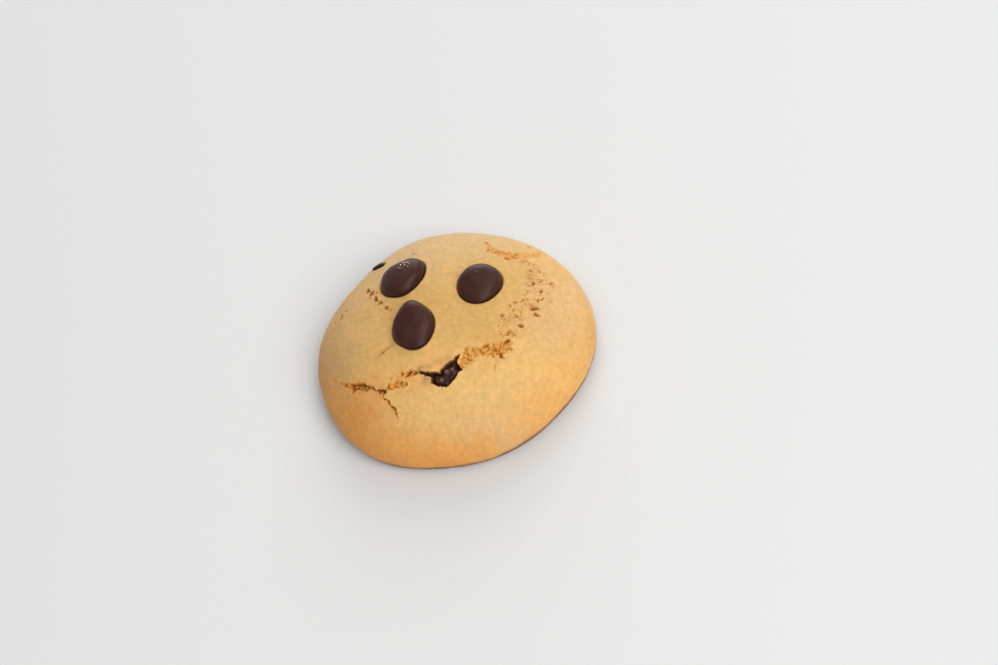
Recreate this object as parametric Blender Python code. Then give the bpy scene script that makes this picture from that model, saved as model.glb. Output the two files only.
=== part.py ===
"""A drop cookie: one low mound of baked dough with a split crust and five chocolate drops.

The mound lies flat on its base at z = 0, +Z up, its long axis along X. All sizes are in metres.
"""

import math

import bmesh
import bpy
from mathutils import Vector, noise

MM = 0.001

# The mound.
RIM_RADIUS = 32.0 * MM
HEIGHT = 17.5 * MM
SHOULDER_HEIGHT = 3.4 * MM
BASE_TUCK = 1.75 * MM
DOME_POWER = 2.2
# Each row of the rim's unevenness is (waves round the rim, cosine part, sine part) as shares of the radius.
RIM_WAVES = (
    (2, 0.0294, -0.0194),
    (3, -0.0036, -0.0112),
    (4, 0.0039, -0.0075),
    (5, 0.0039, 0.0003),
    (6, -0.0069, 0.0006),
)
SWELL_HEIGHT = 0.30 * MM
SWELL_LENGTH = 12.0 * MM
SEGMENTS = 96
DOME_RINGS = 19
SIDE_RINGS = 4
BASE_RINGS = 3

# The drops that lie on the crust. A row is (x, y, long radius, short radius, turn, lean in x, lean in y,
# tip forward, tip up, rise, taper). Turn and lean are in degrees, taper is a share of the short radius.
GAP = 0.30 * MM
DROP_SINK = 1.7 * MM
DROP_POWER = 4.0
DROP_SEGMENTS = 36
DROP_RINGS = 7
DROPS = {
    "drop_right": (11.87, 4.02, 5.41, 5.13, 83.0, -6.0, -1.0, 1.8, 0.40, 2.30, 0.00),
    "drop_left": (-3.26, 16.11, 5.62, 5.10, 10.0, -3.0, 1.3, 0.8, 0.40, 2.30, 0.11),
    "drop_middle": (-5.88, 1.68, 6.06, 4.84, 66.0, 4.0, -3.5, 3.2, 0.80, 2.40, 0.10),
    "drop_far": (-7.40, 26.3, 1.80, 0.95, -30.0, 0.0, 0.0, 0.0, 0.10, 0.35, -0.30),
}
# How a drop's outline strays from an oval: (waves round it, cosine part, sine part) as shares of its radius.
DROP_WAVES = {
    "drop_right": ((1, 0.021, 0.013), (2, -0.027, -0.037), (3, 0.003, 0.016)),
    "drop_left": (
        (1, -0.010, -0.010),
        (2, 0.045, -0.008),
        (3, 0.020, 0.014),
        (4, 0.000, 0.015),
        (5, -0.014, 0.005),
    ),
    "drop_middle": ((1, -0.032, 0.015), (2, 0.003, 0.025), (3, 0.006, 0.002), (4, 0.019, 0.022)),
    "drop_far": (),
}

# The fifth drop shows only through the split: its outline there, its top and its depth.
SPLIT_DROP_OUTLINE = (
    (-9.6, -10.2),
    (-8.2, -10.9),
    (-6.9, -12.0),
    (-5.4, -12.8),
    (-4.4, -12.1),
    (-2.6, -11.6),
    (0.3, -11.0),
    (-0.9, -12.1),
    (-1.2, -13.5),
    (-0.8, -14.4),
    (-1.9, -15.0),
    (-4.5, -16.2),
    (-5.7, -16.5),
    (-7.4, -15.0),
    (-8.2, -13.9),
    (-7.5, -12.7),
    (-9.4, -10.9),
)
SPLIT_DROP_TOP = 0.6 * MM
SPLIT_DROP_BOTTOM = 4.4 * MM

# The splits in the crust. A stop along a split is (x, y, half width, depth).
SPLITS = {
    "split_front_left": (
        (-27.2, 0.6, 0.20, 0.3),
        (-26.5, -1.7, 0.60, 1.2),
        (-24.7, -3.5, 0.75, 1.6),
        (-22.7, -5.5, 0.95, 1.8),
        (-20.9, -7.6, 0.75, 1.6),
        (-18.9, -9.4, 0.95, 1.8),
        (-17.2, -9.3, 0.75, 1.4),
        (-15.3, -9.8, 0.90, 1.4),
        (-13.5, -9.4, 1.00, 1.4),
        (-11.7, -9.0, 0.90, 1.5),
        (-9.8, -10.2, 0.80, 1.6),
        (-7.7, -11.8, 0.60, 1.6),
    ),
    "split_front_right": (
        (-2.2, -12.7, 0.90, 1.8),
        (-0.4, -12.6, 0.80, 1.6),
        (1.7, -12.0, 1.30, 1.4),
        (4.0, -12.2, 1.30, 1.2),
        (6.3, -12.7, 1.30, 1.2),
        (8.3, -13.5, 1.40, 1.2),
        (10.2, -14.1, 1.20, 1.1),
        (11.9, -14.0, 0.30, 0.3),
    ),
    "split_branch": (
        (-19.1, -9.4, 0.60, 1.3),
        (-19.6, -11.0, 0.50, 1.0),
        (-19.2, -12.4, 0.50, 0.9),
        (-18.8, -13.9, 0.40, 0.7),
        (-18.7, -16.2, 0.15, 0.2),
    ),
    "split_left": (
        (-11.6, 19.4, 0.20, 0.3),
        (-11.3, 17.2, 0.45, 0.7),
        (-10.8, 14.8, 0.55, 0.9),
        (-10.8, 12.2, 0.50, 0.9),
        (-9.8, 10.2, 0.35, 0.6),
        (-8.9, 8.3, 0.20, 0.3),
    ),
    "split_small": (
        (-12.2, -0.6, 0.20, 0.3),
        (-13.4, -0.4, 0.30, 0.5),
        (-14.8, -0.3, 0.28, 0.4),
        (-16.2, -0.4, 0.12, 0.2),
    ),
    "split_right_back": (
        (17.8, 16.6, 0.20, 0.3),
        (18.1, 14.4, 0.60, 0.5),
        (18.9, 12.6, 0.90, 0.6),
        (20.3, 10.6, 1.00, 0.6),
        (22.0, 9.2, 1.00, 0.6),
        (24.4, 8.8, 1.00, 0.6),
        (26.6, 8.6, 0.80, 0.5),
        (28.0, 9.7, 0.20, 0.3),
    ),
}
SPLIT_CLEARANCE = 1.5 * MM

# Burst bubbles in the crust to the right. A row is (x, y, radius).
PITS = (
    (24.3, 5.7, 0.45),
    (23.4, 3.1, 0.60),
    (23.3, 0.5, 0.55),
    (22.8, -1.0, 0.65),
    (24.9, -0.7, 0.60),
    (26.0, -2.2, 0.70),
    (23.8, -3.2, 0.65),
    (21.9, -5.5, 0.55),
    (23.2, -6.1, 0.60),
    (20.4, -7.7, 0.80),
    (20.1, -9.5, 0.55),
    (18.9, -2.2, 0.50),
    (17.1, -4.3, 0.65),
    (15.8, -8.1, 0.60),
    (15.3, -4.5, 0.50),
    (14.6, -6.2, 0.60),
    (12.9, -6.4, 0.50),
    (16.0, -10.6, 0.50),
    (12.7, -10.8, 0.50),
)
PIT_SINK_SHARE = 0.15

DOUGH_COLOUR = (0.72, 0.45, 0.18, 1.0)
CHOCOLATE_COLOUR = (0.075, 0.034, 0.026, 1.0)


def clear_scene():
    for existing in list(bpy.data.objects):
        bpy.data.objects.remove(existing)


def make_material(name, colour, roughness):
    material = bpy.data.materials.new(name)
    material.use_nodes = True
    shader = material.node_tree.nodes["Principled BSDF"]
    shader.inputs["Base Color"].default_value = colour
    shader.inputs["Roughness"].default_value = roughness
    return material


def rim_radius(angle):
    share = 1.0
    for waves, cosine, sine in RIM_WAVES:
        share += cosine * math.cos(waves * angle) + sine * math.sin(waves * angle)
    return RIM_RADIUS * share


def rim_centre():
    """The middle of the rim's bounding box, so that the finished part can be centred on the origin."""
    points = []
    for i in range(SEGMENTS):
        angle = 2.0 * math.pi * i / SEGMENTS
        radius = rim_radius(angle)
        points.append((radius * math.cos(angle), radius * math.sin(angle)))
    xs = [x for x, _ in points]
    ys = [y for _, y in points]
    return Vector(((min(xs) + max(xs)) / 2, (min(ys) + max(ys)) / 2, 0.0))


def swell(x, y):
    """A slow unevenness of the crust, faded out towards the rim."""
    share = math.hypot(x, y) / RIM_RADIUS
    fade = max(0.0, 1.0 - share**4)
    place = Vector((x / SWELL_LENGTH, y / SWELL_LENGTH, 0.37))
    return SWELL_HEIGHT * fade * noise.noise(place)


def dome_height(x, y):
    share = math.hypot(x, y) / rim_radius(math.atan2(y, x))
    rise = math.sqrt(max(0.0, 1.0 - min(1.0, share) ** DOME_POWER))
    return SHOULDER_HEIGHT + (HEIGHT - SHOULDER_HEIGHT) * rise + swell(x, y)


def dome_point(x, y):
    return Vector((x, y, dome_height(x, y)))


def dome_normal(x, y):
    step = 0.4 * MM
    slope_x = (dome_height(x + step, y) - dome_height(x - step, y)) / (2 * step)
    slope_y = (dome_height(x, y + step) - dome_height(x, y - step)) / (2 * step)
    return Vector((-slope_x, -slope_y, 1.0)).normalized()


def add_object(name, bm, material, smooth):
    """Turns a bmesh into a named object standing where the finished part does."""
    bmesh.ops.recalc_face_normals(bm, faces=bm.faces)
    bmesh.ops.translate(bm, vec=-rim_centre(), verts=bm.verts)
    mesh = bpy.data.meshes.new(name)
    bm.to_mesh(mesh)
    bm.free()
    for face in mesh.polygons:
        face.use_smooth = smooth
    if material is not None:
        mesh.materials.append(material)
    part = bpy.data.objects.new(name, mesh)
    bpy.context.scene.collection.objects.link(part)
    return part


def bridge_rings(bm, rings):
    for lower, upper in zip(rings, rings[1:]):
        count = len(lower)
        for i in range(count):
            j = (i + 1) % count
            bm.faces.new((lower[i], lower[j], upper[j], upper[i]))


def close_ring(bm, ring, centre):
    middle = bm.verts.new(centre)
    count = len(ring)
    for i in range(count):
        bm.faces.new((ring[i], ring[(i + 1) % count], middle))


def make_dough(material):
    """The mound: a flat base, a rounded edge and the dome above it."""
    bm = bmesh.new()
    angles = [2.0 * math.pi * i / SEGMENTS for i in range(SEGMENTS)]
    rings = []
    for i in range(1, BASE_RINGS):
        share = i / BASE_RINGS
        ring = []
        for angle in angles:
            radius = (rim_radius(angle) - BASE_TUCK) * share
            ring.append(bm.verts.new((radius * math.cos(angle), radius * math.sin(angle), 0.0)))
        rings.append(ring)
    for i in range(SIDE_RINGS):
        turn = 0.5 * math.pi * i / SIDE_RINGS
        ring = []
        for angle in angles:
            radius = rim_radius(angle) - BASE_TUCK * (1.0 - math.sin(turn))
            height = SHOULDER_HEIGHT * (1.0 - math.cos(turn))
            ring.append(bm.verts.new((radius * math.cos(angle), radius * math.sin(angle), height)))
        rings.append(ring)
    for i in range(DOME_RINGS):
        share = math.cos(0.5 * math.pi * i / DOME_RINGS)
        ring = []
        for angle in angles:
            radius = rim_radius(angle) * share
            ring.append(bm.verts.new(dome_point(radius * math.cos(angle), radius * math.sin(angle))))
        rings.append(ring)
    bridge_rings(bm, rings)
    close_ring(bm, rings[0], (0.0, 0.0, 0.0))
    close_ring(bm, rings[-1], dome_point(0.0, 0.0))
    return add_object("dough", bm, material, True)


def drop_frame(row):
    """The drop's middle on the crust and its three axes, leaned a little from the crust's normal."""
    x, y, _, _, turn, lean_x, lean_y, _, _, _, _ = row
    centre = dome_point(x * MM, y * MM)
    lean = Vector((math.radians(lean_x), math.radians(lean_y), 0.0))
    up = (dome_normal(x * MM, y * MM) + lean).normalized()
    side = Vector((0.0, 1.0, 0.0)).cross(up).normalized()
    ahead = up.cross(side)
    cosine = math.cos(math.radians(turn))
    sine = math.sin(math.radians(turn))
    return centre, side * cosine + ahead * sine, ahead * cosine - side * sine, up


def drop_stray(name, angle):
    stray = 0.0
    for waves, cosine, sine in DROP_WAVES[name]:
        stray += cosine * math.cos(waves * angle) + sine * math.sin(waves * angle)
    return stray


def make_drop(name, drop, growth, material):
    """A chocolate drop slumped by baking: flat below, a rounded edge, a low top with a blunt tip."""
    row = DROPS[drop]
    centre, along, across, up = drop_frame(row)
    long_radius = row[2] * MM + growth
    short_radius = row[3] * MM + growth
    tip_ahead = row[7] * MM
    tip_rise = row[8] * MM
    top = row[9] * MM + growth
    taper = row[10]
    bottom = -DROP_SINK - growth
    bm = bmesh.new()
    angles = [2.0 * math.pi * i / DROP_SEGMENTS for i in range(DROP_SEGMENTS)]
    levels = [(0.82, bottom, 0.0), (0.98, bottom * 0.55, 0.0)]
    for i in range(DROP_RINGS):
        share = math.cos(0.5 * math.pi * i / DROP_RINGS)
        rise = math.sqrt(1.0 - share**DROP_POWER) * top
        levels.append((share, rise, 1.0 - share))
    rings = []
    for share, height, tip in levels:
        ring = []
        for angle in angles:
            reach = share * (1.0 + share * drop_stray(drop, angle))
            narrow = 1.0 - taper * math.cos(angle)
            point = centre + along * (long_radius * reach * math.cos(angle) + tip_ahead * tip)
            point += across * (short_radius * reach * math.sin(angle) * narrow)
            point += up * (height + tip_rise * tip * tip)
            ring.append(bm.verts.new(point))
        rings.append(ring)
    bridge_rings(bm, rings)
    close_ring(bm, rings[0], centre + up * bottom)
    close_ring(bm, rings[-1], centre + along * tip_ahead + up * (top + tip_rise))
    return add_object(name, bm, material, True)


def grow_outline(points, growth):
    """Moves every corner of a closed outline outwards by the same distance from its two edges."""
    area = 0.0
    for (x0, y0), (x1, y1) in zip(points, points[1:] + points[:1]):
        area += x0 * y1 - x1 * y0
    outward = 1.0 if area > 0.0 else -1.0
    grown = []
    for i, (x, y) in enumerate(points):
        here = Vector((x, y))
        before = (here - Vector(points[i - 1])).normalized()
        after = (Vector(points[(i + 1) % len(points)]) - here).normalized()
        first = Vector((before.y, -before.x)) * outward
        second = Vector((after.y, -after.x)) * outward
        middle = (first + second).normalized()
        reach = growth / max(0.5, middle.dot(first))
        grown.append((x + middle.x * reach, y + middle.y * reach))
    return grown


def make_split_drop(name, growth, top, material, smooth):
    """The drop in the split: a block with the opening's outline, its top just under the crust."""
    points = grow_outline([(x * MM, y * MM) for x, y in SPLIT_DROP_OUTLINE], growth)
    middle_x = sum(x for x, _ in points) / len(points)
    middle_y = sum(y for _, y in points) / len(points)
    up = dome_normal(middle_x, middle_y)
    bm = bmesh.new()
    upper = [bm.verts.new(dome_point(x, y) + up * top) for x, y in points]
    lower = [bm.verts.new(dome_point(x, y) - up * (SPLIT_DROP_BOTTOM + growth)) for x, y in points]
    bm.faces.new(upper)
    bm.faces.new(lower)
    for i in range(len(points)):
        j = (i + 1) % len(points)
        bm.faces.new((lower[i], lower[j], upper[j], upper[i]))
    bmesh.ops.triangulate(bm, faces=bm.faces)
    return add_object(name, bm, material, smooth)


def make_split_cutter(name, stops):
    """A pointed trough that follows the crust: what a split takes out of it."""
    bm = bmesh.new()
    sections = []
    for i, (x, y, half_width, depth) in enumerate(stops):
        here = dome_point(x * MM, y * MM)
        before = stops[max(0, i - 1)]
        after = stops[min(len(stops) - 1, i + 1)]
        along = dome_point(after[0] * MM, after[1] * MM) - dome_point(before[0] * MM, before[1] * MM)
        up = dome_normal(x * MM, y * MM)
        across = up.cross(along).normalized() * half_width * MM
        section = [
            here - up * depth * MM,
            here + across,
            here + across + up * SPLIT_CLEARANCE,
            here - across + up * SPLIT_CLEARANCE,
            here - across,
        ]
        sections.append([bm.verts.new(point) for point in section])
    bridge_rings(bm, sections)
    bm.faces.new(sections[0])
    bm.faces.new(sections[-1])
    bmesh.ops.triangulate(bm, faces=bm.faces)
    return add_object(name, bm, None, False)


def make_pit_cutter():
    bm = bmesh.new()
    for x, y, radius in PITS:
        centre = dome_point(x * MM, y * MM) - dome_normal(x * MM, y * MM) * radius * MM * PIT_SINK_SHARE
        ball = bmesh.ops.create_icosphere(bm, subdivisions=1, radius=radius * MM)
        bmesh.ops.translate(bm, vec=centre, verts=ball["verts"])
    return add_object("pits", bm, None, False)


def cut(target, cutter):
    cutter.hide_render = True
    cutter.display_type = "WIRE"
    boolean = target.modifiers.new(cutter.name, "BOOLEAN")
    boolean.operation = "DIFFERENCE"
    boolean.solver = "EXACT"
    boolean.object = cutter


clear_scene()
dough_material = make_material("baked_dough", DOUGH_COLOUR, 0.75)
chocolate_material = make_material("chocolate", CHOCOLATE_COLOUR, 0.35)

dough = make_dough(dough_material)
for split_name, split_stops in SPLITS.items():
    cut(dough, make_split_cutter(split_name, split_stops))
cut(dough, make_pit_cutter())
for drop_name in DROPS:
    make_drop(drop_name, drop_name, 0.0, chocolate_material)
    cut(dough, make_drop("seat_of_" + drop_name, drop_name, GAP, None))
make_split_drop("drop_in_split", 0.0, -SPLIT_DROP_TOP, chocolate_material, False)
cut(dough, make_split_drop("seat_of_drop_in_split", GAP, SPLIT_CLEARANCE, None, False))
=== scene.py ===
"""The look of a drop cookie: baked dough with a split crust and five chocolate drops, on a pale floor."""

import math
import random

import bmesh
import bpy
import numpy as np
from mathutils import Matrix, Vector, noise
from mathutils.bvhtree import BVHTree
from mathutils.geometry import delaunay_2d_cdt


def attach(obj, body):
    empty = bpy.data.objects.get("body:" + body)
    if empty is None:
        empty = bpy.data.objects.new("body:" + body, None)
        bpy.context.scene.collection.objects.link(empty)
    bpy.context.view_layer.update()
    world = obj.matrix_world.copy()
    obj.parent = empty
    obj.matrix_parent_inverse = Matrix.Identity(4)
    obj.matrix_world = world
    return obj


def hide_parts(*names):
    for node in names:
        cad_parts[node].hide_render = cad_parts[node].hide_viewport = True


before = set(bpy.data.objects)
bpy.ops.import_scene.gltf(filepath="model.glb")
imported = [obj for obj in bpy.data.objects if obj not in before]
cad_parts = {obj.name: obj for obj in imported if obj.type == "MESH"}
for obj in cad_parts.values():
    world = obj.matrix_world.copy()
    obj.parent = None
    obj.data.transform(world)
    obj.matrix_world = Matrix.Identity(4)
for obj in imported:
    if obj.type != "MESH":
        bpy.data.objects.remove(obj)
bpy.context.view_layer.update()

# ----------------------------------------------------------
# The mound: one scoop of soft wheat dough that spread in the oven into a low dome with a flat
# underside. Its crust is golden and dry, browner round the foot, which painted contact shadow darkens
# further, and is one piece with the crumb.
# All sizes in the sections are in millimetres, measured from the middle of the mound's underside.
# ----------------------------------------------------------
MM = 0.001
RIM_RADIUS = 32.0
HEIGHT = 17.5
SHOULDER_HEIGHT = 3.4
BASE_TUCK = 1.75
DOME_POWER = 2.2
PROFILE_STEPS = 400
FOOT_STEPS = 120
RIM_STEPS = 361
# The rim's waves: (waves round it, cosine part, sine part) as shares of the radius.
RIM_WAVES = (
    (2, 0.029, -0.019), (3, -0.004, -0.011), (4, 0.004, -0.007), (5, 0.004, 0.0), (6, -0.007, 0.001),
)
SWELL_HEIGHT = 0.30
SWELL_LENGTH = 12.0
SWELL_SLICE = 0.37
SWELL_POWER = 4


def waves_round(angle, rows, start):
    """Waves round an outline, summed from rows of (waves, cosine part, sine part) on top of start."""
    share = np.full_like(angle, start)
    for waves, cosine, sine in rows:
        share += cosine * np.cos(waves * angle) + sine * np.sin(waves * angle)
    return share


def rim_radius(angle):
    return RIM_RADIUS * waves_round(angle, RIM_WAVES, 1.0)


def rim_middle():
    """The middle of the rim's box: the finished cookie is centred there."""
    angle = np.linspace(0.0, 2.0 * np.pi, RIM_STEPS)
    x = rim_radius(angle) * np.cos(angle)
    y = rim_radius(angle) * np.sin(angle)
    return np.array([(x.min() + x.max()) / 2, (y.min() + y.max()) / 2, 0.0])


# Noise of another seed is read this far away, in widths of its bumps.
SEED_SHIFT = 7.31


def noise_at(points, size, seed):
    """Smooth noise from -1 to 1 at each point, with bumps about as wide as size."""
    return np.array([noise.noise(place) for place in (points / size + SEED_SHIFT * seed).tolist()])


def swell(x, y):
    """The slow unevenness of the crust, faded out towards the rim."""
    fade = np.maximum(0.0, 1.0 - (np.hypot(x, y) / RIM_RADIUS) ** SWELL_POWER)
    places = np.stack([x / SWELL_LENGTH, y / SWELL_LENGTH, np.full_like(x, SWELL_SLICE)], axis=-1)
    waves = np.array([noise.noise(place) for place in places.reshape(-1, 3).tolist()])
    return SWELL_HEIGHT * fade * waves.reshape(x.shape)


def dome_height(x, y):
    x = np.asarray(x, float)
    y = np.asarray(y, float)
    share = np.minimum(1.0, np.hypot(x, y) / rim_radius(np.arctan2(y, x)))
    return SHOULDER_HEIGHT + (HEIGHT - SHOULDER_HEIGHT) * np.sqrt(1.0 - share**DOME_POWER) + swell(x, y)


def dome_point(x, y):
    return np.array([x, y, float(dome_height([x], [y])[0])])


def dome_normal(x, y):
    step = 0.4
    ahead = dome_height([x + step, x], [y, y + step])
    behind = dome_height([x - step, x], [y, y - step])
    slope = (ahead - behind) / (2 * step)
    normal = np.array([-slope[0], -slope[1], 1.0])
    return normal / np.linalg.norm(normal)


# The profile from the top of the dome to the foot, as tables against the length measured along it.
def mound_profile():
    turn = np.linspace(0.0, np.pi / 2, PROFILE_STEPS)
    share = np.concatenate([np.sin(turn), np.ones(FOOT_STEPS)])
    lower = np.linspace(0.0, np.pi / 2, FOOT_STEPS + 1)[1:]
    tuck = np.concatenate([np.zeros(PROFILE_STEPS), BASE_TUCK * (1.0 - np.cos(lower))])
    dome = SHOULDER_HEIGHT + (HEIGHT - SHOULDER_HEIGHT) * np.sqrt(1.0 - np.sin(turn) ** DOME_POWER)
    height = np.concatenate([dome, SHOULDER_HEIGHT * (1.0 - np.sin(lower))])
    radius = share * RIM_RADIUS - tuck
    length = np.concatenate([[0.0], np.cumsum(np.hypot(np.diff(radius), np.diff(height)))])
    return length, share, tuck, height


PROFILE_LENGTH, PROFILE_SHARE, PROFILE_TUCK, PROFILE_HEIGHT = mound_profile()
SKIN_RADIUS = PROFILE_LENGTH[-1]
# The share of a length that stops just short of its end.
JUST_INSIDE = 0.999


def lay_over_mound(flat):
    """Lays points of a flat round sheet, as big as the mound's skin, over the mound."""
    length = np.minimum(np.hypot(flat[:, 0], flat[:, 1]), SKIN_RADIUS)
    angle = np.arctan2(flat[:, 1], flat[:, 0])
    share = np.interp(length, PROFILE_LENGTH, PROFILE_SHARE)
    tuck = np.interp(length, PROFILE_LENGTH, PROFILE_TUCK)
    radius = share * rim_radius(angle) - tuck
    height = np.interp(length, PROFILE_LENGTH, PROFILE_HEIGHT)
    return np.stack([radius * np.cos(angle), radius * np.sin(angle), height], axis=1)


def skin_normals(flat):
    """Outward normals of the smooth mound under points of the flat sheet."""
    step = 0.05
    inner = flat * JUST_INSIDE
    east = lay_over_mound(inner + [step, 0.0]) - lay_over_mound(inner - [step, 0.0])
    north = lay_over_mound(inner + [0.0, step]) - lay_over_mound(inner - [0.0, step])
    normal = np.cross(east, north)
    return normal / np.linalg.norm(normal, axis=1, keepdims=True)


# Where the drops lie. A row is (x, y, long radius, short radius, turn, lean in x, lean in y, tip forward,
# tip up, rise, taper); turn and lean are in degrees, taper is a share of the short radius.
DROPS = {
    "drop_right": (11.87, 4.02, 5.41, 5.13, 83.0, -6.0, -1.0, 1.8, 0.40, 2.30, 0.00),
    "drop_left": (-3.26, 16.11, 5.62, 5.10, 10.0, -3.0, 1.3, 0.8, 0.40, 2.30, 0.11),
    "drop_middle": (-5.88, 1.68, 6.06, 4.84, 66.0, 4.0, -3.5, 3.2, 0.80, 2.40, 0.10),
    "drop_far": (-7.40, 26.3, 1.80, 0.95, -30.0, 0.0, 0.0, 0.0, 0.10, 0.35, -0.30),
}
# How a drop's outline strays from an oval, in waves like those of the rim, as shares of its radius.
DROP_WAVES = {
    "drop_right": ((1, 0.021, 0.013), (2, -0.027, -0.037), (3, 0.003, 0.016)),
    "drop_left": (
        (1, -0.01, -0.01), (2, 0.045, -0.008), (3, 0.02, 0.014), (4, 0.0, 0.015), (5, -0.014, 0.005),
    ),
    "drop_middle": ((1, -0.032, 0.015), (2, 0.003, 0.025), (3, 0.006, 0.002), (4, 0.019, 0.022)),
    "drop_far": (),
}


def drop_frame(row):
    """A drop's middle on the crust and its three axes: along, across and up."""
    x, y, _, _, turn, lean_x, lean_y = row[:7]
    up = dome_normal(x, y) + np.radians([lean_x, lean_y, 0.0])
    up /= np.linalg.norm(up)
    side = np.cross([0.0, 1.0, 0.0], up)
    side /= np.linalg.norm(side)
    ahead = np.cross(up, side)
    cosine = math.cos(math.radians(turn))
    sine = math.sin(math.radians(turn))
    return dome_point(x, y), side * cosine + ahead * sine, ahead * cosine - side * sine, up


def drop_reach(points, name):
    """How far each point lies from a drop's middle: 1 on the drop's outline."""
    row = DROPS[name]
    centre, along, across, _ = drop_frame(row)
    away = points - centre
    forward = away @ along / row[2]
    sideways = away @ across / row[3]
    angle = np.arctan2(sideways, forward)
    sideways = sideways / (1.0 - row[10] * np.cos(angle))
    stray = waves_round(np.arctan2(sideways, forward), DROP_WAVES[name], 0.0)
    return np.hypot(forward, sideways) / (1.0 + stray)


# The splits that steam tore in the crust. A stop is (x, y, half width, depth), from left to right, so
# that a split's far side is on the left hand.
SPLITS = {
    "front_left": (
        (-27.3, 1.3, 0.15, 0.2), (-26.5, -1.0, 0.34, 0.8), (-25.4, -2.4, 0.6, 1.2),
        (-24.1, -3.6, 0.9, 1.5), (-23.2, -4.5, 1.1, 1.6), (-22.2, -5.3, 0.8, 1.4),
        (-21.3, -6.5, 0.45, 1.1), (-20.3, -7.8, 0.42, 0.9), (-18.9, -9.3, 0.7, 1.2),
    ),
    "branch": (
        (-19.3, -9.5, 0.3, 1.1), (-19.5, -10.4, 0.3, 1.0), (-19.1, -11.7, 0.36, 1.1),
        (-18.7, -13.0, 0.26, 0.9), (-18.4, -14.5, 0.32, 0.9), (-19.0, -16.6, 0.08, 0.1),
    ),
    "left": (
        (-12.7, 20.5, 0.15, 0.1), (-11.8, 18.2, 0.3, 0.3), (-11.2, 15.8, 0.18, 0.2),
        (-11.0, 13.7, 0.34, 0.4), (-10.3, 11.6, 0.16, 0.2), (-9.9, 10.5, 0.3, 0.35),
        (-9.3, 8.4, 0.12, 0.1),
    ),
    "small": (
        (-12.4, -0.5, 0.12, 0.2), (-13.3, -0.4, 0.26, 0.5), (-14.2, -0.3, 0.14, 0.2),
        (-15.3, -0.4, 0.3, 0.5), (-16.9, -0.5, 0.08, 0.1),
    ),
    "top": (
        (0.6, 22.9, 0.1, 0.1), (1.6, 22.7, 0.3, 0.5), (2.6, 22.9, 0.1, 0.1),
    ),
    "below_band": (
        (6.4, -16.4, 0.1, 0.1), (6.1, -17.3, 0.22, 0.4), (5.3, -18.8, 0.08, 0.1),
    ),
}
# Wide strips where the crust crumbled away instead of parting cleanly. A stop is the same four numbers.
CRUMBLED = {
    "front_low": (
        (-18.4, -9.4, 0.5, 0.6), (-16.9, -9.3, 0.85, 0.8), (-15.2, -10.0, 0.9, 0.8),
        (-13.8, -10.9, 0.65, 0.7),
    ),
    "front_high": (
        (-13.5, -8.2, 0.6, 0.7), (-12.4, -8.9, 0.85, 0.9), (-11.2, -9.4, 0.85, 0.9),
        (-9.9, -10.1, 0.6, 0.8),
    ),
    "front_right": (
        (-0.2, -13.6, 1.1, 0.8), (1.4, -12.4, 1.9, 0.8), (3.6, -12.0, 1.2, 0.8), (6.2, -12.9, 1.6, 0.8),
        (8.4, -13.9, 2.0, 0.8), (10.2, -14.1, 1.7, 0.8), (11.7, -13.6, 0.8, 0.5),
    ),
    "back_right": (
        (17.8, 16.0, 0.4, 0.3), (18.2, 13.4, 0.95, 0.45), (19.8, 11.4, 1.35, 0.5),
        (21.0, 9.6, 1.5, 0.55), (22.8, 9.0, 1.3, 0.55), (24.8, 8.8, 1.3, 0.45), (26.8, 8.6, 1.1, 0.35),
        (28.2, 9.9, 0.5, 0.2),
    ),
}
# The stretch of crust on the right that fine bubbles roughened, as stops (x, y, half width, depth).
ROUGHENED = (
    (23.9, 7.0, 1.4, 0.3), (24.4, 3.0, 2.4, 0.4), (24.4, -1.0, 3.0, 0.5), (22.2, -4.6, 3.4, 0.5),
    (18.8, -6.4, 3.6, 0.5), (15.6, -7.6, 3.2, 0.4), (13.4, -9.6, 2.6, 0.4), (11.6, -12.4, 2.0, 0.4),
    (8.6, -15.6, 1.6, 0.3),
)
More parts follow.
